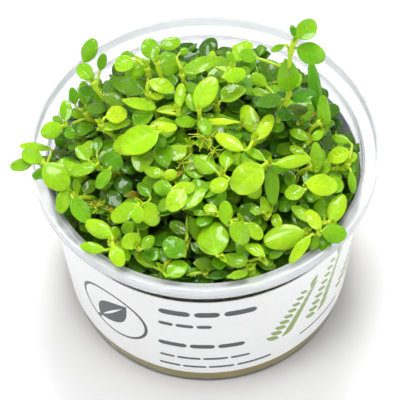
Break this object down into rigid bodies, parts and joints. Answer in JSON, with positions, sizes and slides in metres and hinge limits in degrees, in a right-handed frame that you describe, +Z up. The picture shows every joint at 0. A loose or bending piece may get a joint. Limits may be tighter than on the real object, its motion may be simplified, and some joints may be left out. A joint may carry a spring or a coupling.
{
  "type": "tissue culture cup of creeping hygrophila",
  "caption": "Clear round culture cup with a stepped collar and a wrap label, holding gel and a dense mound of small-leaved aquarium plants that overflow the rim.",
  "frame": {"origin": "middle of the cup's flat base", "axes": "+Z up along the cup's axis, the label's printed side and the picture's viewer towards -Y, +X to the right"},
  "size_m": [0.1049, 0.1, 0.1123],
  "materials": {
    "clear_cup": "clear, glossy, thin-walled",
    "label_paper": "smooth white with plain printed marks",
    "nutrient_gel": "olive, wet and slightly see-through",
    "undergrowth": "packed stems and small leaves in shade",
    "leaf": "living leaf, glossy and damp, with arched veins"
  },
  "bodies": {
    "root": {"cup": "clear_cup", "label": "label_paper", "nutrient_gel": "nutrient_gel", "shoot_back_gloss": "leaf", "shoot_back_left_low": "leaf", "shoot_back_left_sprig": "leaf", "shoot_back_long": "leaf", "shoot_back_middle": "leaf", "shoot_back_oval": "leaf", "shoot_back_right_small": "leaf", "shoot_back_right_tuft": "leaf", "shoot_back_round": "leaf", "shoot_back_upright": "leaf", "shoot_folded_pair": "leaf", "shoot_front_gloss": "leaf", "shoot_front_left_great": "leaf", "shoot_front_left_rosette": "leaf", "shoot_front_left_rounds": "leaf", "shoot_front_ovals": "leaf", "shoot_front_pointed": "leaf", "shoot_front_right_broad": "leaf", "shoot_front_rim": "leaf", "shoot_front_rim_left": "leaf", "shoot_front_rim_right": "leaf", "shoot_great_gloss": "leaf", "shoot_great_round": "leaf", "shoot_left_bright": "leaf", "shoot_left_broad": "leaf", "shoot_left_crown": "leaf", "shoot_left_dark": "leaf", "shoot_left_overhang": "leaf", "shoot_left_rim": "leaf", "shoot_left_upper": "leaf", "shoot_middle_arch": "leaf", "shoot_middle_kidney": "leaf", "shoot_middle_left": "leaf", "shoot_middle_long": "leaf", "shoot_middle_pair": "leaf", "shoot_middle_ring": "leaf", "shoot_middle_rosette": "leaf", "shoot_middle_small": "leaf", "shoot_right_edge": "leaf", "shoot_right_long": "leaf", "shoot_right_rim": "leaf", "shoot_right_rosette": "leaf", "shoot_right_round": "leaf", "shoot_right_tuft": "leaf", "shoot_right_upright": "leaf", "shoot_side_1": "leaf", "shoot_side_2": "leaf", "shoot_side_3": "leaf", "shoot_side_4": "leaf", "shoot_side_5": "leaf", "shoot_side_6": "leaf", "shoot_side_7": "leaf", "shoot_side_8": "leaf", "shoot_side_9": "leaf", "shoot_tall": "leaf", "undergrowth": "undergrowth"}
  },
  "joints": []
}
